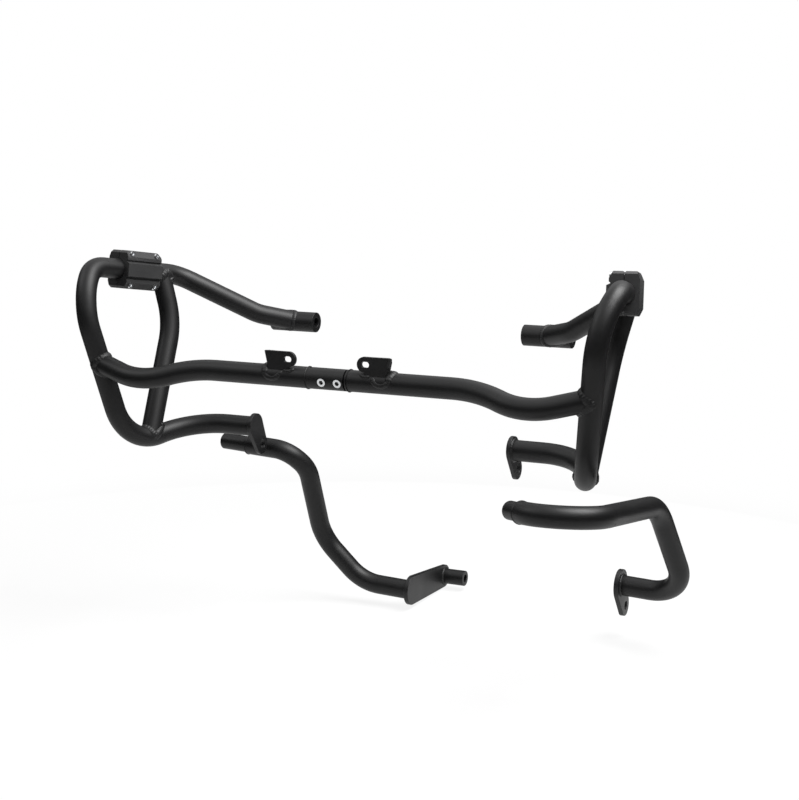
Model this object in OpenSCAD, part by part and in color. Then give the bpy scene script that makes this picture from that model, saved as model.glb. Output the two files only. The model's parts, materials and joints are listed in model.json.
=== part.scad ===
// Crash bars for a motorcycle. Two bent steel loops, mirror images of each other, are joined in
// the middle by a bolted half-lap. Each loop has a strut, a rear sleeve, a side flange and a
// clamped corner pad. Two lower bars complete the set.
// X runs across the motorcycle to the rider's left, Y to the rear and Z up, in millimetres.
// The origin is midway between the two holes of the crossbar tabs.

/* [Tubes] */
// Outer diameter of every tube
tube_d = 25.4; // [22:0.1:28]
// Wall thickness of every tube
tube_wall = 2; // [1.5:0.1:3]
// Gap left between a fish-mouthed tube end and the tube it is welded to
cope_gap = 0.1; // [0.05:0.05:0.5]
// Leg length of the weld bead round a tube end
bead = 3; // [2:0.5:5]

/* [Upper loops] */
// Half the width of the set, from the middle to the tube at the outer corner
loop_reach = 341; // [320:1:360]
// Height of the loop's upper corner above the crossbar
loop_rise = 116; // [100:1:130]
// How far the loop's lower run lies below the crossbar
loop_drop = 93; // [80:1:105]
// Distance of the rear sleeves behind the crossbar
rear_y = 245; // [230:1:260]
// Height of the rear sleeves above the crossbar
rear_z = 30; // [20:1:45]

/* [Centre joint] */
// Half the distance between the two crossbar tube ends
lap_shoulder = 27; // [24:1:35]
// Gap between the end of a lap tongue and the shoulder it faces
lap_gap = 2; // [0.5:0.5:4]
// Spacing of the two joint bolts
lap_pitch = 20.5; // [18:0.5:26]
// Turn of the joint faces about the crossbar
lap_tilt = 14; // [0:1:30]
// Thread diameter of the joint bolts
lap_bolt_d = 6; // [5:1:8]

/* [Crossbar tabs] */
// Distance between the tab holes
tab_pitch = 100.6; // [90:0.2:112]
// Width of the slotted tab holes
tab_hole_d = 7; // [5.5:0.5:9]
// Length of the slotted tab holes from end to end
tab_slot = 10; // [8:0.5:13]
// Height of the tab holes above the crossbar's axis
tab_rise = 21.3; // [19:0.1:24]
// Thickness of the tabs
tab_t = 4; // [3:0.5:5]

/* [Side flanges] */
// How far the inner face of a side flange lies inboard of the loop's outer corner
flange_in = 166.5; // [155:0.5:175]
// Thickness of the side flanges
flange_t = 5; // [4:0.5:8]
// Diameter of the holes in the side flanges
flange_hole_d = 12; // [8.5:0.5:14]

/* [Rear sleeves] */
// Outer diameter of the rear sleeves, larger than the tubes
sleeve_d = 26.4; // [26.2:0.2:32]
// Bore of the rear sleeves
sleeve_bore_d = 12.5; // [8.5:0.5:16]
// Length of the rear sleeves
sleeve_len = 64; // [50:1:80]

/* [Corner pads] */
// Length of a pad along the tube
pad_len = 59; // [50:1:64]
// Height of a pad across the tube
pad_h = 48.4; // [44:0.2:56]
// Width of a pad across the tube
pad_w = 38.6; // [36:0.2:44]
// Gap between the two halves of a pad
pad_split = 0.8; // [0.4:0.1:2]
// Thread diameter of the pad screws
pad_screw_d = 4; // [3:1:5]

/* [Lower bars] */
// Distance from the middle to the left lower bar's end plate
left_plate_x = 279; // [270:1:290]
// Thickness of the end plates of the lower bars
low_plate_t = 6; // [5:0.5:8]
// Diameter of the hole in the left lower bar's end plate
low_hole_d = 10.5; // [8.5:0.5:12.5]
// Outer diameter of the spacer on the right lower bar
spacer_d = 21; // [18:0.5:25]
// Length of the spacer on the right lower bar
spacer_len = 30; // [20:1:40]
// How far the plug stands out of the left lower bar's end
left_plug_out = 25; // [15:1:40]
// How far the plug stands out of the right lower bar's end
right_plug_out = 44; // [20:1:50]

/* [Hidden] */
$fn = 64;
eps = 0.01;
tube_r = tube_d / 2;
bore_r = tube_r - tube_wall;
fit = 0.1;
bend_thin = 0.05;
bend_reach = 0.8;

// Corner points of the centre lines, measured from the crossbar's axis, with the radius of each bend.
flange_x = loop_reach - flange_in;
tube_start_x = flange_x + flange_t;
loop_points = [
    [tube_start_x, 131, -loop_drop],
    [loop_reach - 70, 131, -loop_drop],
    [loop_reach - 38.5, 26, -loop_drop - 19],
    [loop_reach - 14.5, -17, 56],
    [loop_reach - 8, -8, loop_rise - 25],
    [loop_reach, 17.5, loop_rise],
    [loop_reach - 31, 162.5, loop_rise - 21.5],
    [loop_reach - 122, 215, rear_z + 11.5],
    [loop_reach - 163, rear_y, rear_z]
];
loop_radii = [72, 59, 66, 60, 32, 43, 62];

// The crossbar ends part of the way up the loop's front run.
cross_end = between(loop_points[2], loop_points[3], 0.664);
cross_points = [
    [lap_shoulder, 0, 0],
    [loop_reach - 156.5, 0, 0],
    [loop_reach - 92.5, -22, -17.5],
    cross_end
];
cross_radii = [145, 84];

// The strut stands between the loop's lower rear bend and the upper run behind the pad.
strut_top = between(loop_points[5], loop_points[6], 0.795);
strut_foot = bend_point(loop_points, loop_radii, 2, 0.17);
strut_points = [strut_top, strut_top + [-17.2, -2.4, -63.3], strut_foot];
strut_radii = [113];

// The left lower bar comes forward from its plug, turns back and then drops to its end plate.
left_plate_out = left_plate_x + low_plate_t;
left_low_points = [
    [left_plate_x - 16.5, -61.3, -117.8],
    [left_plate_x + 62.5, -122, -107.5],
    [left_plate_x + 74.5, 140, -145],
    [left_plate_x + 92.5, 221.5, -274],
    [left_plate_out, 237, -275]
];
left_low_radii = [50, 60, 50];

// The right lower bar drops from its plug behind the flange and runs in to its lever plate.
right_low_points = [
    [-flange_x - 36.5, 177.5, -loop_drop - 35.5],
    [-flange_x + 22.5, 169, -loop_drop - 36.5],
    [-flange_x + 41, 191.5, -loop_drop - 62.5],
    [-flange_x + 38, 237.5, -loop_drop - 166],
    [-flange_x + 93, 248, -loop_drop - 225.5],
    [-flange_x + 162, 248.5, -loop_drop - 228.5]
];
right_low_radii = [29, 50, 60, 60];

// Side flange outline: a round eye on the tube and a round lug with the hole, as [y, z].
flange_eye = [131, -loop_drop + 1];
flange_eye_r = 16;
flange_lug = [145, -loop_drop - 26];
flange_lug_r = 12.5;
flange_hole = flange_lug + [1, 1.5];

// Left end plate, as offsets from the tube's axis [y, z].
left_eye_r = 20;
left_lug = [15, -30];
left_lug_r = 13.5;

// Right lever plate, as offsets from the tube's axis [y, z].
lever_eye_r = 19.5;
lever_lug = [106, -7.8];
lever_lug_r = 15.5;
lever_hole_d = low_hole_d;

// The pad lies on the loop's upper run; its frame has x to the side, y up and z along the tube.
pad_start = between(loop_points[5], loop_points[6], 0.295);
pad_dir = unit(loop_points[6] - loop_points[5]);
pad_screw_rows = [-19.7, 19.7];
pad_screw_inset = 8.5;
pad_head_x = 16.8;
pad_front_chamfer = 3;
pad_rear_chamfer = 5;

// Head sizes of socket screws follow from the thread.
function head_d(thread) = thread <= 5 ? thread * 1.7 + 0.4 : thread * 1.5 + 1;
function key_af(thread) = thread <= 5 ? thread * 0.8 : thread - 1;
function nut_af(thread) = thread <= 4 ? 7 : thread == 5 ? 8 : 10;

// Where the tabs, sleeves, bolt heads and nuts sit.
tab_y = 7.8;
sleeve_x = loop_points[8][0] - sleeve_len / 2 + 1;
lap_offset = 4.75;
lap_seat = tube_r - 0.6 - lap_bolt_d;
pad_seat = pad_head_x - pad_screw_d;
nut_t = pad_screw_d * 0.8;
nut_seat = 9;

steel = [0.10, 0.10, 0.11];
pad_colour = [0.16, 0.16, 0.17];
zinc = [0.72, 0.73, 0.74];

function unit(v) = v / norm(v);
function between(a, b, f) = a + (b - a) * f;

// Direction of travel into and out of corner i, the turn there and the length each leg gives up.
function way(points, i) = unit(points[i + 1] - points[i]);
function turn(points, i) = acos(way(points, i - 1) * way(points, i));
function is_bend(points, i) = i > 0 && i < len(points) - 1;
function cut(points, radii, i) = is_bend(points, i) ? radii[i - 1] * tan(turn(points, i) / 2) : 0;

// Frame of bend i: it starts at angle 0 of a circle about its own z, moving along its own y.
function bend_axis(points, i) = unit(cross(way(points, i - 1), way(points, i)));
function bend_side(points, i) = cross(way(points, i - 1), bend_axis(points, i));
function bend_centre(points, radii, i) =
    points[i] - way(points, i - 1) * cut(points, radii, i) - bend_side(points, i) * radii[i - 1];
function bend_frame(points, radii, i) =
    let (x = bend_side(points, i))
    let (y = way(points, i - 1))
    let (z = bend_axis(points, i))
    let (c = bend_centre(points, radii, i))
    [[x[0], y[0], z[0], c[0]], [x[1], y[1], z[1], c[1]], [x[2], y[2], z[2], c[2]], [0, 0, 0, 1]];
// Point on the centre line of bend i, a fraction f of the way round it.
function bend_point(points, radii, i, f) =
    let (a = turn(points, i) * f)
    bend_centre(points, radii, i)
    + bend_side(points, i) * radii[i - 1] * cos(a)
    + way(points, i - 1) * radii[i - 1] * sin(a);

// Places things so that their z runs from point a towards point b.
module aim(a, b) {
    v = b - a;
    translate(a)
        rotate([0, acos(v[2] / norm(v)), atan2(v[1], v[0])])
            children();
}

module ring(d, inner_d) {
    difference() {
        circle(d = d);
        if (inner_d > 0)
            circle(d = inner_d);
    }
}

// Length of leg i once its bends have taken their share.
function leg(points, radii, i) =
    norm(points[i + 1] - points[i]) - cut(points, radii, i) - cut(points, radii, i + 1);

// Straight leg i, hollow where inner_d is given.
module straight_run(points, radii, i, d, inner_d = 0) {
    a = points[i] + way(points, i) * cut(points, radii, i);
    aim(a, a + way(points, i))
        linear_extrude(leg(points, radii, i))
            ring(d, inner_d);
}

// Bend i. It is a hair thinner than the legs and reaches a little way into them, so that the
// pieces join into one solid.
module bend_run(points, radii, i, d, inner_d = 0) {
    r = radii[i - 1];
    reach = bend_reach / r * 180 / PI;
    multmatrix(bend_frame(points, radii, i))
        rotate([0, 0, -reach])
            rotate_extrude(angle = turn(points, i) + 2 * reach)
                translate([r, 0])
                    ring(d - 2 * bend_thin, inner_d > 0 ? inner_d + 2 * bend_thin : 0);
}

// A bent tube along the corner points.
module bent_tube(points, radii) {
    inner_d = 2 * bore_r;
    for (i = [0 : len(points) - 2])
        straight_run(points, radii, i, tube_d, inner_d);
    for (i = [1 : len(points) - 2])
        bend_run(points, radii, i, tube_d, inner_d);
}

// Moves the crossbar's frame to the part's origin between the tab holes.
module placed() {
    translate([0, tab_y, -tab_rise])
        children();
}

module mirrored() {
    mirror([1, 0, 0])
        children();
}

// Quarter-round weld bead standing on a face at z = 0 round a tube of radius r.
module weld_bead(r, size = bead) {
    rotate_extrude()
        translate([r, 0])
            intersection() {
                circle(r = size);
                square(size);
            }
}

// Plate outline made of two round ends and their outer tangents, in its own plane.
module two_circle_plate(p1, r1, p2, r2) {
    v = p2 - p1;
    a = atan2(v[1], v[0]);
    lean = acos((r1 - r2) / norm(v));
    function rim(p, r, s) = p + r * [cos(a + s * lean), sin(a + s * lean)];
    translate(p1)
        circle(r = r1);
    translate(p2)
        circle(r = r2);
    polygon([rim(p1, r1, 1), rim(p1, r1, -1), rim(p2, r2, -1), rim(p2, r2, 1)]);
}

// Stands a drawing of [y, z] upright in the YZ plane and gives it thickness t towards +X.
module upright(x, t) {
    translate([x, 0, 0])
        multmatrix([[0, 0, 1, 0], [1, 0, 0, 0], [0, 1, 0, 0], [0, 0, 0, 1]])
            linear_extrude(t)
                children();
}

// Cylinder along X from x1 to x2.
module bar_x(x1, x2, p, d) {
    translate([x1, p[0], p[1]])
        rotate([0, 90, 0])
            cylinder(d = d, h = x2 - x1);
}

module loop_tube() {
    difference() {
        bent_tube(loop_points, loop_radii);
        translate([sleeve_x, rear_y, rear_z])
            rotate([0, 90, 0])
                cylinder(d = sleeve_d + 2 * cope_gap, h = sleeve_len);
    }
}

module strut_tube() {
    difference() {
        bent_tube(strut_points, strut_radii);
        for (i = [1, 5])
            straight_run(loop_points, loop_radii, i, tube_d + 2 * cope_gap);
        for (i = [1, 2, 6])
            bend_run(loop_points, loop_radii, i, tube_d + 2 * cope_gap);
    }
}

module cross_tube() {
    difference() {
        bent_tube(cross_points, cross_radii);
        straight_run(loop_points, loop_radii, 2, tube_d + 2 * cope_gap);
    }
}

// One half of the centre joint: a plug for the tube, a shoulder and a half-round tongue.
// It reaches from the tube end at +lap_shoulder across the middle; side 1 keeps the rear half.
module lap_insert(side) {
    shoulder = lap_shoulder - 2.5;
    tongue_end = -(shoulder - lap_gap);
    plug_len = 30;
    difference() {
        union() {
            bar_x(lap_shoulder, lap_shoulder + plug_len, [0, 0], 2 * (bore_r - fit));
            difference() {
                bar_x(tongue_end, lap_shoulder, [0, 0], tube_d);
                rotate([lap_tilt, 0, 0])
                    translate([tongue_end - 1, side > 0 ? -tube_d + 0.05 : -0.05, -tube_d])
                        cube([shoulder - tongue_end + 1, tube_d, 2 * tube_d]);
            }
            translate([lap_shoulder, 0, 0])
                rotate([0, -90, 0])
                    weld_bead(tube_r, 1);
        }
        lap_bolt_places(side)
            joint_bolt_hole(side);
    }
}

// The bolts sit in the same places seen from either half.
module lap_bolt_places(side) {
    rotate([lap_tilt, 0, 0])
        for (x = [-lap_pitch / 2, lap_pitch / 2])
            translate([x + side * lap_offset, 0, 0])
                children();
}

module joint_bolt_hole(side) {
    rotate([90, 0, 0])
        translate([0, 0, -tube_d])
            cylinder(d = lap_bolt_d + (side > 0 ? 2 * fit : 0.6), h = 2 * tube_d);
    if (side < 0)
        rotate([90, 0, 0])
            translate([0, 0, lap_seat])
                cylinder(d = head_d(lap_bolt_d) + 1, h = tube_d);
}

module socket_screw(thread, shank) {
    difference() {
        union() {
            cylinder(d = head_d(thread), h = thread);
            translate([0, 0, -shank])
                cylinder(d = thread, h = shank + eps);
        }
        translate([0, 0, thread * 0.45])
            cylinder(d = key_af(thread) / cos(30), h = thread, $fn = 6);
    }
}

// A tab is a folded plate: a front face with a slotted hole, rounded towards the middle, and a
// shallow return at the outer edge, which leans inwards towards the tube.
module crossbar_tab() {
    top_r = 9;
    top = tab_rise + top_r;
    outer_x = tab_pitch / 2 + 31;
    lean = 12;
    return_y = 10;
    front_y = -tab_y + tab_t / 2;
    difference() {
        union() {
            translate([0, front_y, 0])
                rotate([90, 0, 0])
                    linear_extrude(tab_t)
                        difference() {
                            union() {
                                translate([tab_pitch / 2 - 1.5, tab_rise])
                                    circle(r = top_r);
                                polygon([
                                    [tab_pitch / 2 - 1.5, 0],
                                    [outer_x - top * tan(lean) - 0.5, 0],
                                    [outer_x - 0.5, top],
                                    [tab_pitch / 2 - 1.5, top]
                                ]);
                            }
                            for (x = [-1, 1])
                                translate([tab_pitch / 2 + x * (tab_slot - tab_hole_d) / 2, tab_rise])
                                    circle(d = tab_hole_d);
                            translate([tab_pitch / 2, tab_rise])
                                square([tab_slot - tab_hole_d, tab_hole_d], center = true);
                        }
            translate([outer_x, 0, top])
                rotate([0, lean, 0])
                    upright(-tab_t, tab_t)
                        polygon([
                            [front_y - tab_t / 2, -top],
                            [front_y - tab_t / 2, -1],
                            [front_y + 3, -1],
                            [front_y + return_y - tab_t, -6],
                            [front_y + return_y - tab_t, -top]
                        ]);
        }
        bar_x(0, outer_x + 1, [0, 0], tube_d + 2 * cope_gap);
        translate([0, front_y - 2 * tab_t, -tube_d])
            cube([outer_x + 1, return_y + tube_d, tube_d + 4]);
    }
}

module side_flange() {
    upright(flange_x, flange_t)
        difference() {
            two_circle_plate(flange_eye, flange_eye_r, flange_lug, flange_lug_r);
            translate(flange_hole)
                circle(d = flange_hole_d);
        }
}

module rear_sleeve() {
    translate([sleeve_x, rear_y, rear_z])
        rotate([0, 90, 0])
            linear_extrude(sleeve_len)
                ring(sleeve_d, sleeve_bore_d);
}

// Frame of the pad: x to the outside, y up, z along the tube towards the rear.
module pad_frame() {
    side = unit(cross(pad_dir, [0, 0, 1]));
    up = cross(side, pad_dir);
    multmatrix([
        [side[0], up[0], pad_dir[0], pad_start[0]],
        [side[1], up[1], pad_dir[1], pad_start[1]],
        [side[2], up[2], pad_dir[2], pad_start[2]],
        [0, 0, 0, 1]
    ])
        children();
}

// Section of one pad half round the tube; upper lists its corners from the split down to mid height.
module pad_section(upper) {
    lower = [for (i = [len(upper) - 1 : -1 : 0]) [upper[i][0], -upper[i][1]]];
    difference() {
        polygon(concat(
            [[pad_split / 2, pad_h / 2 - 2], [pad_split / 2 + 1.5, pad_h / 2]],
            upper,
            lower,
            [[pad_split / 2 + 1.5, -pad_h / 2], [pad_split / 2, -pad_h / 2 + 2]]
        ));
        circle(r = tube_r + fit);
    }
}

module pad_screw_places() {
    for (y = pad_screw_rows)
        for (z = [pad_screw_inset, pad_len - pad_screw_inset])
            translate([0, y, z])
                rotate([0, -90, 0])
                    children();
}

// Bevels across the four ends of the ears, larger at the rear.
module pad_ear_bevels() {
    for (end = [[0, pad_front_chamfer], [pad_len, pad_rear_chamfer]])
        for (y = [-pad_h / 2, pad_h / 2])
            translate([0, y, end[0]])
                rotate([45, 0, 0])
                    cube([2 * pad_w, end[1] * sqrt(2), end[1] * sqrt(2)], center = true);
}

// Outer half of the pad, plain and bevelled, with hexagon pockets for the nuts.
module pad_outer_shell() {
    face_x = pad_w / 2 - 1.8;
    pad_frame()
        difference() {
            linear_extrude(pad_len)
                pad_section([[face_x - 3.6, pad_h / 2], [face_x, pad_h / 2 - 8.6]]);
            pad_screw_places()
                translate([0, 0, -pad_w])
                    cylinder(d = pad_screw_d + 0.4, h = 2 * pad_w);
            pad_screw_places()
                translate([0, 0, -pad_w])
                    cylinder(d = (nut_af(pad_screw_d) + 2 * fit) / cos(30), h = pad_w - nut_seat, $fn = 6);
            pad_ear_bevels();
        }
}

// Inner half of the pad, with a raised middle face between two grooves, and ears whose bevels hold
// counterbores for the screw heads.
module pad_inner_shell() {
    face_x = pad_w / 2;
    ear_x = face_x - 2.6;
    groove_x = ear_x - 1.6;
    pad_frame()
        difference() {
            mirrored()
                linear_extrude(pad_len)
                    pad_section([
                        [ear_x - 4.4, pad_h / 2],
                        [ear_x, pad_h / 2 - 8],
                        [ear_x, pad_h / 2 - 12],
                        [groove_x, pad_h / 2 - 13],
                        [groove_x, pad_h / 2 - 14],
                        [face_x, pad_h / 2 - 16]
                    ]);
            pad_screw_places()
                translate([0, 0, -pad_w])
                    cylinder(d = pad_screw_d + 0.4, h = 2 * pad_w);
            pad_screw_places()
                translate([0, 0, pad_seat])
                    cylinder(d = head_d(pad_screw_d) + 4 * fit, h = pad_w);
            pad_ear_bevels();
        }
}

module pad_screws() {
    pad_frame()
        pad_screw_places()
            translate([0, 0, pad_seat])
                socket_screw(pad_screw_d, pad_seat + nut_seat + nut_t);
}

module pad_nuts() {
    pad_frame()
        pad_screw_places()
            translate([0, 0, -nut_seat - nut_t])
                difference() {
                    cylinder(d = nut_af(pad_screw_d) / cos(30), h = nut_t, $fn = 6);
                    translate([0, 0, -1])
                        cylinder(d = pad_screw_d + 2 * fit, h = nut_t + 2);
                }
}

// Solid plug in the open end of a lower bar, from the tube end at a, standing out away from b.
module end_plug(a, b, plug_out) {
    inside = 9;
    aim(a, b)
        rotate_extrude()
            polygon([
                [0, -plug_out],
                [bore_r - fit - 1, -plug_out],
                [bore_r - fit, -plug_out + 1],
                [bore_r - fit, inside - 1],
                [bore_r - fit - 1, inside],
                [0, inside]
            ]);
    aim(a, b)
        rotate_extrude()
            polygon([
                [bore_r - fit - eps, 0],
                [bore_r - fit - eps, -bead],
                [tube_r - 1, -bead],
                [tube_r + 0.6, -bead / 2],
                [tube_r, 0]
            ]);
}

module left_end_plate() {
    eye = [left_low_points[4][1], left_low_points[4][2]];
    upright(left_plate_x, low_plate_t)
        difference() {
            two_circle_plate(eye, left_eye_r, eye + left_lug, left_lug_r);
            translate(eye + left_lug)
                circle(d = low_hole_d);
        }
}

module right_lever_plate() {
    eye = [right_low_points[5][1], right_low_points[5][2]];
    upright(right_low_points[5][0], low_plate_t)
        difference() {
            two_circle_plate(eye, lever_eye_r, eye + lever_lug, lever_lug_r);
            translate(eye + lever_lug)
                circle(d = lever_hole_d);
        }
}

module right_spacer() {
    eye = [right_low_points[5][1], right_low_points[5][2]] + lever_lug;
    translate([right_low_points[5][0] + low_plate_t, eye[0], eye[1]])
        rotate([0, 90, 0])
            linear_extrude(spacer_len)
                ring(spacer_d, lever_hole_d);
}

// A bar that runs on past its last point and is cut off square against a plate at x = face.
// Side 1 has the plate towards -X of the cut and side -1 towards +X.
module cut_bar(points, radii, face, side) {
    last = len(points) - 1;
    past = points[last] + way(points, last - 1) * 8;
    block = 60;
    difference() {
        bent_tube([for (i = [0 : last]) i < last ? points[i] : past], radii);
        translate([face - (side > 0 ? block : 0), past[1] - block / 2, past[2] - block / 2])
            cube(block);
    }
}

module left_lower_tube() {
    cut_bar(left_low_points, left_low_radii, left_plate_out, 1);
}

module right_lower_tube() {
    cut_bar(right_low_points, right_low_radii, right_low_points[5][0], -1);
}

module left_loop_tube() { color(steel) placed() loop_tube(); }
module right_loop_tube() { color(steel) placed() mirrored() loop_tube(); }
module left_strut_tube() { color(steel) placed() strut_tube(); }
module right_strut_tube() { color(steel) placed() mirrored() strut_tube(); }
module left_cross_tube() { color(steel) placed() cross_tube(); }
module right_cross_tube() { color(steel) placed() mirrored() cross_tube(); }
module left_lap_insert() { color(steel) placed() lap_insert(1); }
module right_lap_insert() { color(steel) placed() mirrored() lap_insert(-1); }
module joint_bolts() {
    color(zinc)
        placed()
            lap_bolt_places(1)
                rotate([90, 0, 0])
                    translate([0, 0, lap_seat])
                        socket_screw(lap_bolt_d, lap_seat + tube_r - 3);
}
module left_crossbar_tab() { color(steel) placed() crossbar_tab(); }
module right_crossbar_tab() { color(steel) placed() mirrored() crossbar_tab(); }
module left_side_flange() { color(steel) placed() side_flange(); }
module right_side_flange() { color(steel) placed() mirrored() side_flange(); }
module left_rear_sleeve() { color(steel) placed() rear_sleeve(); }
module right_rear_sleeve() { color(steel) placed() mirrored() rear_sleeve(); }
module left_pad_outer_shell() { color(pad_colour) placed() pad_outer_shell(); }
module right_pad_outer_shell() { color(pad_colour) placed() mirrored() pad_outer_shell(); }
module left_pad_inner_shell() { color(pad_colour) placed() pad_inner_shell(); }
module right_pad_inner_shell() { color(pad_colour) placed() mirrored() pad_inner_shell(); }
module left_pad_screws() { color(zinc) placed() pad_screws(); }
module right_pad_screws() { color(zinc) placed() mirrored() pad_screws(); }
module left_pad_nuts() { color(zinc) placed() pad_nuts(); }
module right_pad_nuts() { color(zinc) placed() mirrored() pad_nuts(); }
module left_lower_bar_tube() { color(steel) placed() left_lower_tube(); }
module left_lower_end_plate() { color(steel) placed() left_end_plate(); }
module left_lower_plug() {
    color(steel)
        placed()
            end_plug(left_low_points[0], left_low_points[1], left_plug_out);
}
module right_lower_bar_tube() { color(steel) placed() right_lower_tube(); }
module right_lower_lever_plate() { color(steel) placed() right_lever_plate(); }
module right_lower_spacer() { color(steel) placed() right_spacer(); }
module right_lower_plug() {
    color(steel)
        placed()
            end_plug(right_low_points[0], right_low_points[1], right_plug_out);
}

left_loop_tube();
right_loop_tube();
left_strut_tube();
right_strut_tube();
left_cross_tube();
right_cross_tube();
left_lap_insert();
right_lap_insert();
joint_bolts();
left_crossbar_tab();
right_crossbar_tab();
left_side_flange();
right_side_flange();
left_rear_sleeve();
right_rear_sleeve();
left_pad_outer_shell();
right_pad_outer_shell();
left_pad_inner_shell();
right_pad_inner_shell();
left_pad_screws();
right_pad_screws();
left_pad_nuts();
right_pad_nuts();
left_lower_bar_tube();
left_lower_end_plate();
left_lower_plug();
right_lower_bar_tube();
right_lower_lever_plate();
right_lower_spacer();
right_lower_plug();
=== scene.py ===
"""Looks for the motorcycle crash bars: satin black powder coat, weld beads, moulded pads, zinc screws."""
import json
import math

import bmesh
import bpy
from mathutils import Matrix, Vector
from mathutils.bvhtree import BVHTree


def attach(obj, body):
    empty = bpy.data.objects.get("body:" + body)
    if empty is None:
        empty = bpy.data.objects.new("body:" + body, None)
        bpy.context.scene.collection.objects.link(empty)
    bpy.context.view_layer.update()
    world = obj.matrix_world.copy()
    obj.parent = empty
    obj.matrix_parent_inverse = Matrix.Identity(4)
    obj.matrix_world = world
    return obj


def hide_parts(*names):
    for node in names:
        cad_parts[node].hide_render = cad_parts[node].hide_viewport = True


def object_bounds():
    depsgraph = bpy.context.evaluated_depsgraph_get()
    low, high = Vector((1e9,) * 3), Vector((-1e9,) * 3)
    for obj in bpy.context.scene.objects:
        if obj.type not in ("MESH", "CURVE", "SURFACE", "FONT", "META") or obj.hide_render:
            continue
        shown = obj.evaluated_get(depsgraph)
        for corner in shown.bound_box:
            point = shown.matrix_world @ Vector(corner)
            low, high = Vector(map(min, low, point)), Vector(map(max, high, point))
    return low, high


MM = 0.001
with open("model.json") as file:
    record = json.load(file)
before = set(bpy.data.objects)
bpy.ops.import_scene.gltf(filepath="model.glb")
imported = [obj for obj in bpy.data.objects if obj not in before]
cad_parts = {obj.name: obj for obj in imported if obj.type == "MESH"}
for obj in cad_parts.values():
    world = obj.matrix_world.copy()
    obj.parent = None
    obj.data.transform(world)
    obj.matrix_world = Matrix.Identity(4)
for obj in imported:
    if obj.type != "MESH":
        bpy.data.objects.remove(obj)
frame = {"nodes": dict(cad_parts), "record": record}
cad_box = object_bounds()

# The photograph's camera, measured from the middle of the crossbar tabs.
CAMERA_PLACE = Vector((864.7, -1649.2, 282.1)) * MM
CAMERA_TURN = math.radians(25.08)
CAMERA_TILT = math.radians(9.96)
CAMERA_LENS = 73.48
CAMERA_SENSOR = 36.0
FLOOR_DROP = 2 * MM
FLOOR_HALF = 6.0
FLOOR_CENTRE = (0.0, 0.15)
# The floor turns from near white to plain white between these distances from its centre.
FLOOR_FADE = (0.35, 1.1)
FLOOR_WHITE = (0.88, 1.0)

# The crossbar's axis and the tab holes, as the solids have them.
CROSSBAR_Y = 7.8 * MM
CROSSBAR_Z = -21.3 * MM
TUBE_R = 12.7 * MM
TAB_HOLE_X = 50.3 * MM
TAB_OUTER_X = 81.3 * MM

# Ends of the left strut's lower leg and of the left loop's last leg, in millimetres from the
# crossbar's axis.
STRUT_BEND = (299.155, 130.375, 35.608)
STRUT_FOOT = (291.8, 62.05, -103.64)
LOOP_TAIL = (219.0, 215.0, 41.5)
LOOP_END = (178.0, 245.0, 30.0)


# Finishes

def number_group(name, inputs, output):
    """A shader node group with named number inputs and one number output."""
    group = bpy.data.node_groups.new(name, "ShaderNodeTree")
    for label, value in inputs.items():
        socket = group.interface.new_socket(label, in_out="INPUT", socket_type="NodeSocketFloat")
        socket.default_value = value
    group.interface.new_socket(output, in_out="OUTPUT", socket_type="NodeSocketFloat")
    return group, group.nodes.new("NodeGroupInput"), group.nodes.new("NodeGroupOutput")


def object_noise(group, scale_from, detail, roughness):
    """Noise on the piece's own coordinates inside a group."""
    where = group.nodes.new("ShaderNodeTexCoord")
    noise = group.nodes.new("ShaderNodeTexNoise")
    noise.inputs["Detail"].default_value = detail
    noise.inputs["Roughness"].default_value = roughness
    group.links.new(where.outputs["Object"], noise.inputs["Vector"])
    group.links.new(scale_from, noise.inputs["Scale"])
    return noise


def make_orange_peel():
    """The fine waviness of sprayed powder, as a bump height."""
    group, given, result = number_group("Orange peel", {"Size": 420.0, "Grain": 2600.0}, "Height")
    wave = object_noise(group, given.outputs["Size"], 2.0, 0.5)
    grain = object_noise(group, given.outputs["Grain"], 1.0, 0.5)
    mix = group.nodes.new("ShaderNodeMix")
    mix.inputs["Factor"].default_value = 0.25
    group.links.new(wave.outputs["Fac"], mix.inputs["A"])
    group.links.new(grain.outputs["Fac"], mix.inputs["B"])
    group.links.new(mix.outputs["Result"], result.inputs["Height"])
    return group


def make_spread(name, output, scale, low, high, detail, span):
    """Noise spread between two values, for tone and for gloss."""
    group, given, result = number_group(name, {"Scale": scale, "Low": low, "High": high}, output)
    noise = object_noise(group, given.outputs["Scale"], detail, 0.55)
    spread = group.nodes.new("ShaderNodeMapRange")
    spread.inputs["From Min"].default_value = 0.5 - span
    spread.inputs["From Max"].default_value = 0.5 + span
    group.links.new(noise.outputs["Fac"], spread.inputs["Value"])
    group.links.new(given.outputs["Low"], spread.inputs["To Min"])
    group.links.new(given.outputs["High"], spread.inputs["To Max"])
    group.links.new(spread.outputs["Result"], result.inputs[output])
    return group


ORANGE_PEEL = make_orange_peel()
GLOSS_PATCHES = make_spread("Gloss patches", "Roughness", 9.0, 0.4, 0.5, 3.0, 0.2)
TONE_CLOUDS = make_spread("Tone clouds", "Tone", 30.0, 0.8, 1.2, 4.0, 0.25)


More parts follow.
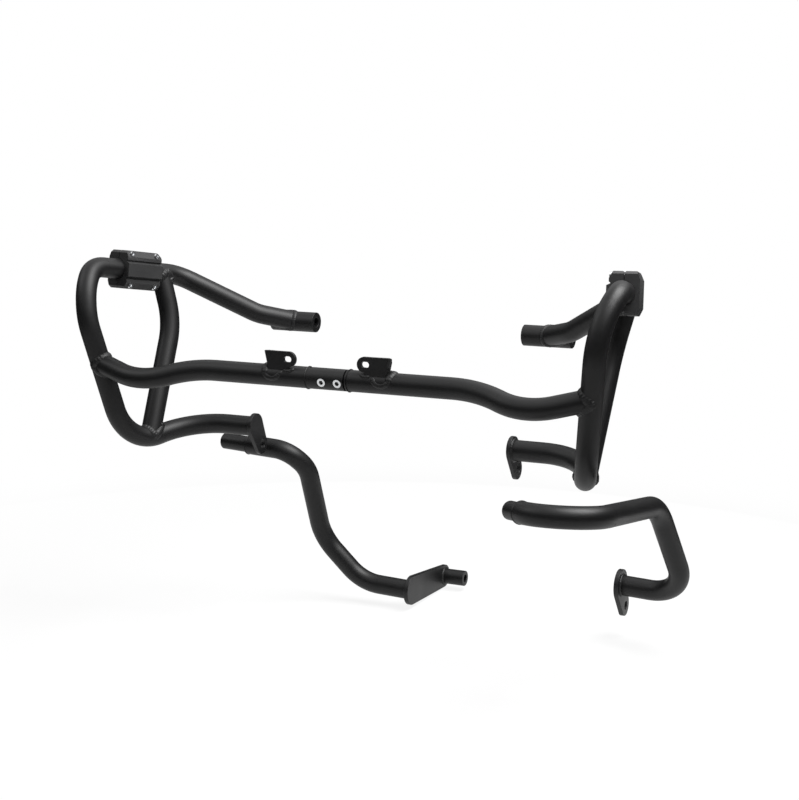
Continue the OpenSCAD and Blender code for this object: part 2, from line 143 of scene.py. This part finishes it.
def finish(name, colour, metallic, specular, gloss, bump, tone=(0.85, 1.15)):
    """A finish from the three groups; gloss is (scale, low, high), bump (size, grain, strength)."""
    mat = bpy.data.materials.new(name)
    mat.use_nodes = True
    tree = mat.node_tree
    shader = tree.nodes["Principled BSDF"]
    shader.inputs["Metallic"].default_value = metallic
    shader.inputs["Specular IOR Level"].default_value = specular

    def use(group, values):
        node = tree.nodes.new("ShaderNodeGroup")
        node.node_tree = group
        for label, value in values.items():
            node.inputs[label].default_value = value
        return node

    clouds = use(TONE_CLOUDS, {"Scale": 30.0, "Low": tone[0], "High": tone[1]})
    shade = tree.nodes.new("ShaderNodeMix")
    shade.data_type = "RGBA"
    shade.blend_type = "MULTIPLY"
    shade.inputs["Factor"].default_value = 1.0
    shade.inputs["A"].default_value = (*colour, 1)
    tree.links.new(clouds.outputs["Tone"], shade.inputs["B"])
    tree.links.new(shade.outputs["Result"], shader.inputs["Base Color"])
    patches = use(GLOSS_PATCHES, {"Scale": gloss[0], "Low": gloss[1], "High": gloss[2]})
    tree.links.new(patches.outputs["Roughness"], shader.inputs["Roughness"])
    peel = use(ORANGE_PEEL, {"Size": bump[0], "Grain": bump[1]})
    dent = tree.nodes.new("ShaderNodeBump")
    dent.inputs["Strength"].default_value = bump[2]
    dent.inputs["Distance"].default_value = 0.0004
    tree.links.new(peel.outputs["Height"], dent.inputs["Height"])
    tree.links.new(dent.outputs["Normal"], shader.inputs["Normal"])
    return mat


SLOT_FINISH = {
    "coated_tube": finish("Satin black powder coat", (0.0045, 0.0045, 0.0048), 0.0, 0.30,
                          (8.0, 0.42, 0.50), (430.0, 2600.0, 0.10)),
    "coated_plate": finish("Satin black coat on plate", (0.0065, 0.0065, 0.0068), 0.0, 0.36,
                           (14.0, 0.40, 0.50), (430.0, 2600.0, 0.16)),
    "pad_plastic": finish("Moulded black pad plastic", (0.0210, 0.0210, 0.0215), 0.0, 0.38,
                          (20.0, 0.50, 0.60), (1400.0, 4200.0, 0.20)),
    "zinc_fasteners": finish("Bright zinc plate", (0.68, 0.69, 0.70), 1.0, 0.5,
                             (40.0, 0.22, 0.34), (900.0, 3600.0, 0.05), (0.92, 1.05)),
}
WELD_COAT = finish("Powder coat over the welds", (0.0060, 0.0060, 0.0063), 0.0, 0.34,
                   (60.0, 0.46, 0.54), (900.0, 2600.0, 0.10))
# Painted shade: a dark grey, non-metallic finish for the faces inside the screws' hexagon sockets,
# standing in for the shade in those recesses.
SOCKET_PAINTED_SHADE = finish("Painted shade inside the sockets", (0.16, 0.16, 0.16), 0.0, 0.2,
                         (40.0, 0.70, 0.80), (900.0, 3600.0, 0.05))


# The solids, smoothed and given their finishes

def slot_of(node):
    for entry in frame["record"]["subparts"]:
        if entry["node"] == node:
            return entry["material_slot"]
    raise ValueError(node)


def merged_copy(node, weld=0.004 * MM):
    """A bmesh of a CAD node with its loose triangles joined up."""
    bm = bmesh.new()
    bm.from_mesh(frame["nodes"][node].data)
    bmesh.ops.remove_doubles(bm, verts=bm.verts, dist=weld)
    return bm


def islands(bm):
    """The separate solids of a mesh, as lists of faces."""
    left = set(bm.faces)
    found = []
    while left:
        todo = [left.pop()]
        island = list(todo)
        while todo:
            for edge in todo.pop().edges:
                for face in edge.link_faces:
                    if face in left:
                        left.remove(face)
                        todo.append(face)
                        island.append(face)
        found.append(island)
    return found


def screw_axis(corners):
    """End points of a screw's axis, head first; the head is the wider end."""
    middle = sum(corners, Vector()) / len(corners)
    far = max(corners, key=lambda p: (p - middle).length)
    other = max(corners, key=lambda p: (p - far).length)
    along = (other - far).normalized()
    for step in range(30):
        spread = Vector()
        for p in corners:
            spread += (p - middle) * (p - middle).dot(along)
        along = spread.normalized()
    reach = [(p - middle).dot(along) for p in corners]
    low, high = min(reach), max(reach)

    def width(end):
        near = [p for p, r in zip(corners, reach) if abs(r - end) < 0.2 * MM]
        return max((p - middle - along * (p - middle).dot(along)).length for p in near)

    if width(low) > width(high):
        return middle + along * low, along, high - low
    return middle + along * high, -along, high - low


def paint_socket_shade(bm, depth, radius):
    """Gives the faces inside each screw's hexagon socket the second finish, a painted shade darker than
    the zinc.
    """
    for island in islands(bm):
        top, along, length = screw_axis([v.co.copy() for face in island for v in face.verts])
        for face in island:
            inside = True
            for vert in face.verts:
                away = vert.co - top
                down = away.dot(along)
                if down > depth or (away - along * down).length > radius:
                    inside = False
            if inside:
                face.material_index = 1


def dress(node, crease_deg=32.0, bevel=0.0, sockets=None):
    """Joins a CAD node's triangles into a smooth-shaded piece with its slot's finish, and a painted shade
    inside any hexagon sockets.
    """
    bm = merged_copy(node)
    if bevel:
        bmesh.ops.dissolve_limit(bm, angle_limit=math.radians(0.6), verts=bm.verts, edges=bm.edges)
    for face in bm.faces:
        face.smooth = True
    for edge in bm.edges:
        if len(edge.link_faces) == 2:
            edge.smooth = edge.calc_face_angle(0.0) < math.radians(crease_deg)
    # Painted shade on the faces inside the hexagon sockets.
    if sockets:
        paint_socket_shade(bm, *sockets)
    mesh = bpy.data.meshes.new(node + "_look")
    bm.to_mesh(mesh)
    bm.free()
    piece = bpy.data.objects.new(node + "_look", mesh)
    bpy.context.scene.collection.objects.link(piece)
    if bevel:
        round_edges = piece.modifiers.new("Rounded edges", "BEVEL")
        round_edges.width = bevel
        round_edges.segments = 3
        round_edges.limit_method = "ANGLE"
        round_edges.angle_limit = math.radians(crease_deg)
        round_edges.harden_normals = True
    mesh.materials.append(SLOT_FINISH[slot_of(node)])
    if sockets:
        mesh.materials.append(SOCKET_PAINTED_SHADE)
    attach(piece, "root")
    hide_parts(node)
    return piece


# Width of the rounded edges, and depth and radius of the hexagon sockets given a painted shade, by part
# of the node's name.
ROUNDED = {"crossbar_tab": 0.5 * MM, "side_flange": 0.7 * MM, "end_plate": 0.8 * MM,
           "lever_plate": 0.8 * MM, "rear_sleeve": 0.6 * MM, "spacer": 0.6 * MM, "shell": 0.6 * MM}
SOCKET_SHADE_SIZES = {"joint_bolts": (3.4 * MM, 3.1 * MM)}
for name in frame["nodes"]:
    width = max([w for part, w in ROUNDED.items() if part in name], default=0.0)
    socket_shade_size = next((s for part, s in SOCKET_SHADE_SIZES.items() if part in name), None)
    dress(name, bevel=width, sockets=socket_shade_size)


# Weld beads, laid along the rims where one piece stands on another

def sharp_rims(node, host, reach=0.5 * MM, corner_deg=25.0):
    """Closed rims of the faces of a piece that lie on its host, longest first. Each is a list of
    points with the way that leads into both pieces."""
    bm = merged_copy(node)
    other = merged_copy(host)
    surface = BVHTree.FromBMesh(other)
    near = {v for v in bm.verts if surface.find_nearest(v.co, reach)[0] is not None}
    seated = {face for face in bm.faces if all(v in near for v in face.verts)
              and surface.find_nearest(face.calc_center_median(), reach / 2)[0] is not None}
    links = {}
    for edge in bm.edges:
        if len([face for face in edge.link_faces if face in seated]) == 1:
            if edge.calc_face_angle(0.0) > math.radians(corner_deg):
                a, b = edge.verts
                links.setdefault(a, []).append(b)
                links.setdefault(b, []).append(a)
    rims = []
    seen = set()
    for start in sorted(links, key=lambda v: v.index):
        if start in seen:
            continue
        seen.add(start)
        rim = [start]
        while True:
            onward = [v for v in links[rim[-1]] if v not in seen]
            if not onward:
                break
            nearest = min(onward, key=lambda v: (v.co - rim[-1].co).length)
            seen.add(nearest)
            rim.append(nearest)
        if len(rim) > 8 and (rim[0].co - rim[-1].co).length < 4 * MM:
            rims.append([(v.co.copy(), inward(v, seated, surface)) for v in rim])
    bm.free()
    other.free()
    return sorted(rims, key=rim_length, reverse=True)


def inward(vert, seated, surface):
    """The way from a rim's corner midway into the piece and its host."""
    side = sum((face.normal for face in vert.link_faces if face not in seated), Vector())
    return -(side.normalized() + surface.find_nearest(vert.co)[1]).normalized()


def rim_length(rim):
    return sum((rim[i][0] - rim[i - 1][0]).length for i in range(len(rim)))


def sunk(rim, depth):
    """A rim's line laid below both surfaces, so that a thick bead shows as a flat fillet."""
    return [point + into * depth for point, into in rim]


def outer_rims(node, host, count):
    """The longest rims at the separate places where a piece stands on its host."""
    kept = []
    for rim in sharp_rims(node, host):
        middle = sum((point for point, into in rim), Vector()) / len(rim)
        if all((middle - m).length > 20 * MM for m, r in kept):
            kept.append((middle, rim))
    if len(kept) < count:
        raise ValueError("no rim of %s on %s" % (node, host))
    return [rim for middle, rim in kept[:count]]


def seat_line(host, start, toward, count=72, inset=0.992, reach=0.2):
    """The rim on a host that a tube meets. The tube runs from start through toward, both in
    millimetres from the crossbar's axis."""
    other = merged_copy(host)
    surface = BVHTree.FromBMesh(other)
    other.free()
    shift = Vector((0.0, CROSSBAR_Y, CROSSBAR_Z))
    begin = Vector(start) * MM + shift
    along = (Vector(toward) - Vector(start)).normalized()
    side = along.orthogonal().normalized()
    up = along.cross(side)
    line = []
    for i in range(count):
        a = 2 * math.pi * i / count
        outward = side * math.cos(a) + up * math.sin(a)
        hit, normal = surface.ray_cast(begin + outward * TUBE_R * inset, along, reach)[:2]
        if hit is not None:
            line.append((hit, -(outward + normal).normalized()))
    return line


# Length of a ripple against its pitch, and radius of the core against the ripples'.
RIPPLE_STRETCH = 1.9
CORE_SHARE = 0.97


def make_bead_tree():
    """Lays overlapping ripples and a core along a line of edges."""
    tree = bpy.data.node_groups.new("Weld bead", "GeometryNodeTree")
    face = tree.interface
    face.new_socket("Line", in_out="INPUT", socket_type="NodeSocketGeometry")
    for label, value in (("Bead radius", 3 * MM), ("Ripple pitch", 2 * MM), ("Unevenness", 0.02)):
        socket = face.new_socket(label, in_out="INPUT", socket_type="NodeSocketFloat")
        socket.default_value = value
    face.new_socket("Seed", in_out="INPUT", socket_type="NodeSocketInt").default_value = 4
    face.new_socket("Coat", in_out="INPUT", socket_type="NodeSocketMaterial")
    face.new_socket("Bead", in_out="OUTPUT", socket_type="NodeSocketGeometry")
    node = tree.nodes.new
    link = tree.links.new
    given, result = node("NodeGroupInput"), node("NodeGroupOutput")
    line = node("GeometryNodeMeshToCurve")
    even = node("GeometryNodeResampleCurve")
    even.mode = "LENGTH"
    ball = node("GeometryNodeMeshUVSphere")
    ball.inputs["Segments"].default_value = 12
    ball.inputs["Rings"].default_value = 8
    ball.inputs["Radius"].default_value = 1.0
    tangent = node("GeometryNodeInputTangent")
    turn = node("FunctionNodeAlignRotationToVector")
    turn.axis = "Z"
    lay = node("GeometryNodeInstanceOnPoints")
    low = node("ShaderNodeMath")
    low.operation = "SUBTRACT"
    low.inputs[0].default_value = 1.0
    high = node("ShaderNodeMath")
    high.operation = "ADD"
    high.inputs[0].default_value = 1.0
    vary = node("FunctionNodeRandomValue")
    vary.data_type = "FLOAT"
    across = node("ShaderNodeMath")
    across.operation = "MULTIPLY"
    along = node("ShaderNodeMath")
    along.operation = "MULTIPLY"
    along.inputs[1].default_value = RIPPLE_STRETCH
    size = node("ShaderNodeCombineXYZ")
    ring = node("GeometryNodeCurvePrimitiveCircle")
    ring.inputs["Resolution"].default_value = 10
    thin = node("ShaderNodeMath")
    thin.operation = "MULTIPLY"
    thin.inputs[1].default_value = CORE_SHARE
    sweep = node("GeometryNodeCurveToMesh")
    both = node("GeometryNodeJoinGeometry")
    solid = node("GeometryNodeRealizeInstances")
    smooth = node("GeometryNodeSetShadeSmooth")
    coat = node("GeometryNodeSetMaterial")
    link(given.outputs["Line"], line.inputs["Mesh"])
    link(line.outputs["Curve"], even.inputs["Curve"])
    link(given.outputs["Ripple pitch"], even.inputs["Length"])
    link(even.outputs["Curve"], lay.inputs["Points"])
    link(ball.outputs["Mesh"], lay.inputs["Instance"])
    link(tangent.outputs["Tangent"], turn.inputs["Vector"])
    link(turn.outputs["Rotation"], lay.inputs["Rotation"])
    link(given.outputs["Unevenness"], low.inputs[1])
    link(given.outputs["Unevenness"], high.inputs[1])
    smallest = next(s for s in vary.inputs if s.name == "Min" and s.type == "VALUE")
    largest = next(s for s in vary.inputs if s.name == "Max" and s.type == "VALUE")
    varied = next(s for s in vary.outputs if s.type == "VALUE")
    link(low.outputs[0], smallest)
    link(high.outputs[0], largest)
    link(given.outputs["Seed"], vary.inputs["Seed"])
    link(given.outputs["Bead radius"], across.inputs[0])
    link(varied, across.inputs[1])
    link(given.outputs["Ripple pitch"], along.inputs[0])
    link(across.outputs[0], size.inputs["X"])
    link(across.outputs[0], size.inputs["Y"])
    link(along.outputs[0], size.inputs["Z"])
    link(size.outputs["Vector"], lay.inputs["Scale"])
    link(given.outputs["Bead radius"], thin.inputs[0])
    link(thin.outputs[0], ring.inputs["Radius"])
    link(even.outputs["Curve"], sweep.inputs["Curve"])
    link(ring.outputs["Curve"], sweep.inputs["Profile Curve"])
    link(lay.outputs["Instances"], both.inputs["Geometry"])
    link(sweep.outputs["Mesh"], both.inputs["Geometry"])
    link(both.outputs["Geometry"], solid.inputs["Geometry"])
    link(solid.outputs["Geometry"], smooth.inputs["Geometry"])
    link(smooth.outputs["Geometry"], coat.inputs["Geometry"])
    link(given.outputs["Coat"], coat.inputs["Material"])
    link(coat.outputs["Geometry"], result.inputs["Bead"])
    return tree


BEAD_TREE = make_bead_tree()


def bead_along(name, lines, radius, pitch, seed, unevenness=0.02, closed=True):
    """A weld bead piece along one or more lines of points."""
    points, edges = [], []
    for line in lines:
        first = len(points)
        points += [tuple(p) for p in line]
        edges += [(first + i, first + i + 1) for i in range(len(line) - 1)]
        if closed:
            edges.append((len(points) - 1, first))
    mesh = bpy.data.meshes.new(name + "_line")
    mesh.from_pydata(points, edges, [])
    source = bpy.data.objects.new(name + "_line", mesh)
    bpy.context.scene.collection.objects.link(source)
    layer = source.modifiers.new("Weld bead", "NODES")
    layer.node_group = BEAD_TREE
    values = {"Bead radius": radius, "Ripple pitch": pitch, "Unevenness": unevenness,
              "Seed": seed, "Coat": WELD_COAT}
    for item in BEAD_TREE.interface.items_tree:
        if item.in_out == "INPUT" and item.name in values:
            layer[item.identifier] = values[item.name]
    graph = bpy.context.evaluated_depsgraph_get()
    plain = bpy.data.meshes.new_from_object(source.evaluated_get(graph))
    bpy.data.objects.remove(source)
    bead = bpy.data.objects.new(name, plain)
    bpy.context.scene.collection.objects.link(bead)
    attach(bead, "root")
    return bead


def on_crossbar(side, x, up_deg, lift):
    """A point above the crossbar's surface by lift: 0 degrees is its front, 90 its top."""
    r = TUBE_R + lift
    a = math.radians(up_deg)
    return Vector((side * x, CROSSBAR_Y - r * math.cos(a), CROSSBAR_Z + r * math.sin(a)))


def smooth_line(corners, steps=6):
    """A rounded line through a few corners."""
    pts = [corners[0]] + corners + [corners[-1]]
    line = []
    for i in range(1, len(pts) - 2):
        for s in range(steps):
            t = s / steps
            a, b, c, d = pts[i - 1:i + 3]
            line.append(0.5 * ((2 * b) + (c - a) * t + (2 * a - 5 * b + 4 * c - d) * t * t
                               + (3 * b - a - 3 * c + d) * t ** 3))
    line.append(corners[-1])
    return line


# Pitch of the ripples, then bead radius and how deep its line lies, for tube on tube, tube on sleeve
# and tube on plate.
RIPPLE_PITCH = 2.4 * MM
TUBE_BEAD = (7.5 * MM, 4.6 * MM)
SLEEVE_BEAD = (4.6 * MM, 2.6 * MM)
PLATE_BEAD = (3.6 * MM, 1.6 * MM)


def weld_rims(name, rims, bead, seed):
    """A closed fillet weld along each rim."""
    radius, depth = bead
    return bead_along(name, [sunk(rim, depth) for rim in rims], radius, RIPPLE_PITCH, seed)


# The welds of a crossbar tab: a U under its front face, a sweep up behind its outer edge and a tack
# inboard. Each corner is a distance along the crossbar in millimetres and degrees up from its front.
TAB_FRONT_WELD = ((10, 24), (12.5, 4), (18, -9), (24, -7), (28.5, 6), (31, 26))
TAB_REAR_WELD = ((-1, 30), (0, 50), (1, 72), (1, 94), (-4, 104))
TAB_TACK_WELD = ((-5, 46), (-1, 36), (3, 38))


def tab_weld(name, side, start_x, corners, bead, pitch, seed, unevenness):
    """An open weld along a rounded line on the crossbar."""
    radius, depth = bead
    line = smooth_line([on_crossbar(side, start_x + dx * MM, up, -depth) for dx, up in corners])
    bead_along(name, [line], radius, pitch, seed, unevenness, closed=False)


def place_of(point, side):
    """A place on the left half, or its mirror image on the right."""
    return (side * point[0], *point[1:])


def weld_one_side(side, name):
    loop = name + "_loop_tube"
    seed = 11 if side > 0 else 31
    foot = seat_line(loop, place_of(STRUT_BEND, side), place_of(STRUT_FOOT, side))
    tail = seat_line(name + "_rear_sleeve", place_of(LOOP_TAIL, side), place_of(LOOP_END, side))
    strut_rims = outer_rims(name + "_strut_tube", loop, 1) + [foot]
    weld_rims(name + "_strut_welds", strut_rims, TUBE_BEAD, seed)
    weld_rims(name + "_cross_weld", outer_rims(name + "_cross_tube", loop, 1), TUBE_BEAD, seed + 1)
    weld_rims(name + "_sleeve_weld", [tail], SLEEVE_BEAD, seed + 2)
    weld_rims(name + "_flange_weld", outer_rims(loop, name + "_side_flange", 1), PLATE_BEAD, seed + 3)
    tab_weld(name + "_tab_front_weld", side, TAB_HOLE_X, TAB_FRONT_WELD, (4.4 * MM, 3.2 * MM),
             2.4 * MM, seed + 4, 0.05)
    tab_weld(name + "_tab_rear_weld", side, TAB_OUTER_X, TAB_REAR_WELD, (5.4 * MM, 3.0 * MM),
             2.6 * MM, seed + 5, 0.05)
    tab_weld(name + "_tab_tack_weld", side, TAB_HOLE_X, TAB_TACK_WELD, (2.6 * MM, 0.6 * MM),
             1.8 * MM, seed + 6, 0.08)


weld_one_side(1, "left")
weld_one_side(-1, "right")
for weld, piece, plate, draw in (
        ("left_lower_plate_weld", "left_lower_bar_tube", "left_lower_end_plate", 51),
        ("right_lower_lever_weld", "right_lower_bar_tube", "right_lower_lever_plate", 52),
        ("right_lower_spacer_weld", "right_lower_spacer", "right_lower_lever_plate", 53)):
    weld_rims(weld, outer_rims(piece, plate, 1), PLATE_BEAD, draw)


# Studio

def seen_white(tree):
    """1 for rays that the camera, a gloss or glass sends out, else 0."""
    rays = tree.nodes.new("ShaderNodeLightPath")
    first = tree.nodes.new("ShaderNodeMath")
    first.operation = "MAXIMUM"
    both = tree.nodes.new("ShaderNodeMath")
    both.operation = "MAXIMUM"
    tree.links.new(rays.outputs["Is Camera Ray"], first.inputs[0])
    tree.links.new(rays.outputs["Is Glossy Ray"], first.inputs[1])
    tree.links.new(first.outputs[0], both.inputs[0])
    tree.links.new(rays.outputs["Is Transmission Ray"], both.inputs[1])
    return both.outputs[0]


def white_floor(z):
    """A white sheet that keeps a faint shadow near the bars and fades to plain white away from them."""
    mesh = bpy.data.meshes.new("floor")
    h = FLOOR_HALF
    mesh.from_pydata([(-h, -h, z), (h, -h, z), (h, h, z), (-h, h, z)], [], [(0, 1, 2, 3)])
    floor = bpy.data.objects.new("floor", mesh)
    bpy.context.scene.collection.objects.link(floor)
    mat = bpy.data.materials.new("White floor")
    mat.use_nodes = True
    tree = mat.node_tree
    node = tree.nodes.new
    link = tree.links.new
    shader = tree.nodes["Principled BSDF"]
    shader.inputs["Base Color"].default_value = (0.85, 0.85, 0.85, 1)
    shader.inputs["Roughness"].default_value = 0.9
    shader.inputs["Specular IOR Level"].default_value = 0.0
    glow = node("ShaderNodeEmission")
    where = node("ShaderNodeTexCoord")
    centre = node("ShaderNodeVectorMath")
    centre.operation = "DISTANCE"
    centre.inputs[1].default_value = (*FLOOR_CENTRE, z)
    fade = node("ShaderNodeMapRange")
    fade.interpolation_type = "SMOOTHSTEP"
    fade.inputs["From Min"].default_value, fade.inputs["From Max"].default_value = FLOOR_FADE
    fade.inputs["To Min"].default_value, fade.inputs["To Max"].default_value = FLOOR_WHITE
    share = node("ShaderNodeMath")
    share.operation = "MULTIPLY"
    mix = node("ShaderNodeMixShader")
    link(where.outputs["Object"], centre.inputs[0])
    link(centre.outputs["Value"], fade.inputs["Value"])
    link(fade.outputs["Result"], share.inputs[0])
    link(seen_white(tree), share.inputs[1])
    link(share.outputs[0], mix.inputs[0])
    link(shader.outputs[0], mix.inputs[1])
    link(glow.outputs[0], mix.inputs[2])
    link(mix.outputs[0], tree.nodes["Material Output"].inputs["Surface"])
    mesh.materials.append(mat)


def dark_curtain(z, radius=1.0, height=0.8, count=48):
    """A low dark curtain round the set, out of the camera's sight, that the coat mirrors."""
    bm = bmesh.new()
    turns = [2 * math.pi * i / count for i in range(count)]
    rows = [[bm.verts.new((radius * math.cos(a), radius * math.sin(a), h)) for a in turns]
            for h in (z, z + height)]
    for i in range(count):
        j = (i + 1) % count
        bm.faces.new((rows[0][j], rows[0][i], rows[1][i], rows[1][j]))
    mesh = bpy.data.meshes.new("curtain")
    bm.to_mesh(mesh)
    bm.free()
    curtain = bpy.data.objects.new("curtain", mesh)
    bpy.context.scene.collection.objects.link(curtain)
    curtain.visible_camera = False
    mat = bpy.data.materials.new("Dark curtain")
    mat.use_nodes = True
    shader = mat.node_tree.nodes["Principled BSDF"]
    shader.inputs["Base Color"].default_value = (0.03, 0.03, 0.03, 1)
    shader.inputs["Roughness"].default_value = 0.9
    mesh.materials.append(mat)


def softbox(name, place, aim_at, size, watts):
    data = bpy.data.lights.new(name, "AREA")
    data.shape = "RECTANGLE"
    data.size, data.size_y = size
    data.energy = watts
    lamp = bpy.data.objects.new(name, data)
    lamp.location = place
    lamp.rotation_euler = (Vector(aim_at) - Vector(place)).to_track_quat("-Z", "Y").to_euler()
    bpy.context.scene.collection.objects.link(lamp)


def white_studio():
    world = bpy.data.worlds.new("White studio")
    world.use_nodes = True
    bpy.context.scene.world = world
    tree = world.node_tree
    tree.nodes.clear()
    out = tree.nodes.new("ShaderNodeOutputWorld")
    seen = tree.nodes.new("ShaderNodeBackground")
    seen.inputs["Color"].default_value = (1, 1, 1, 1)
    fill = tree.nodes.new("ShaderNodeBackground")
    fill.inputs["Color"].default_value = (1, 1, 1, 1)
    fill.inputs["Strength"].default_value = 0.3
    mix = tree.nodes.new("ShaderNodeMixShader")
    tree.links.new(seen_white(tree), mix.inputs[0])
    tree.links.new(fill.outputs[0], mix.inputs[1])
    tree.links.new(seen.outputs[0], mix.inputs[2])
    tree.links.new(mix.outputs[0], out.inputs["Surface"])


def photo_camera():
    data = bpy.data.cameras.new("camera")
    data.lens = CAMERA_LENS
    data.sensor_width = CAMERA_SENSOR
    data.clip_start, data.clip_end = 0.05, 50.0
    camera = bpy.data.objects.new("camera", data)
    camera.location = CAMERA_PLACE
    camera.rotation_euler = (math.pi / 2 - CAMERA_TILT, 0, CAMERA_TURN)
    bpy.context.scene.collection.objects.link(camera)
    bpy.context.scene.camera = camera


floor_z = cad_box[0][2] - FLOOR_DROP
white_floor(floor_z)
dark_curtain(floor_z)
softbox("top softbox", (0.9, 0.2, 1.5), (0, 0.1, -0.1), (1.4, 1.2), 72)
softbox("left softbox", (-1.4, -0.6, 1.3), (0, 0, 0), (0.7, 0.7), 5)
softbox("front softbox", (1.7, -1.6, 1.5), (0, 0, 0), (0.7, 0.7), 4)
white_studio()
photo_camera()
scene = bpy.context.scene
scene.view_settings.view_transform = "Standard"
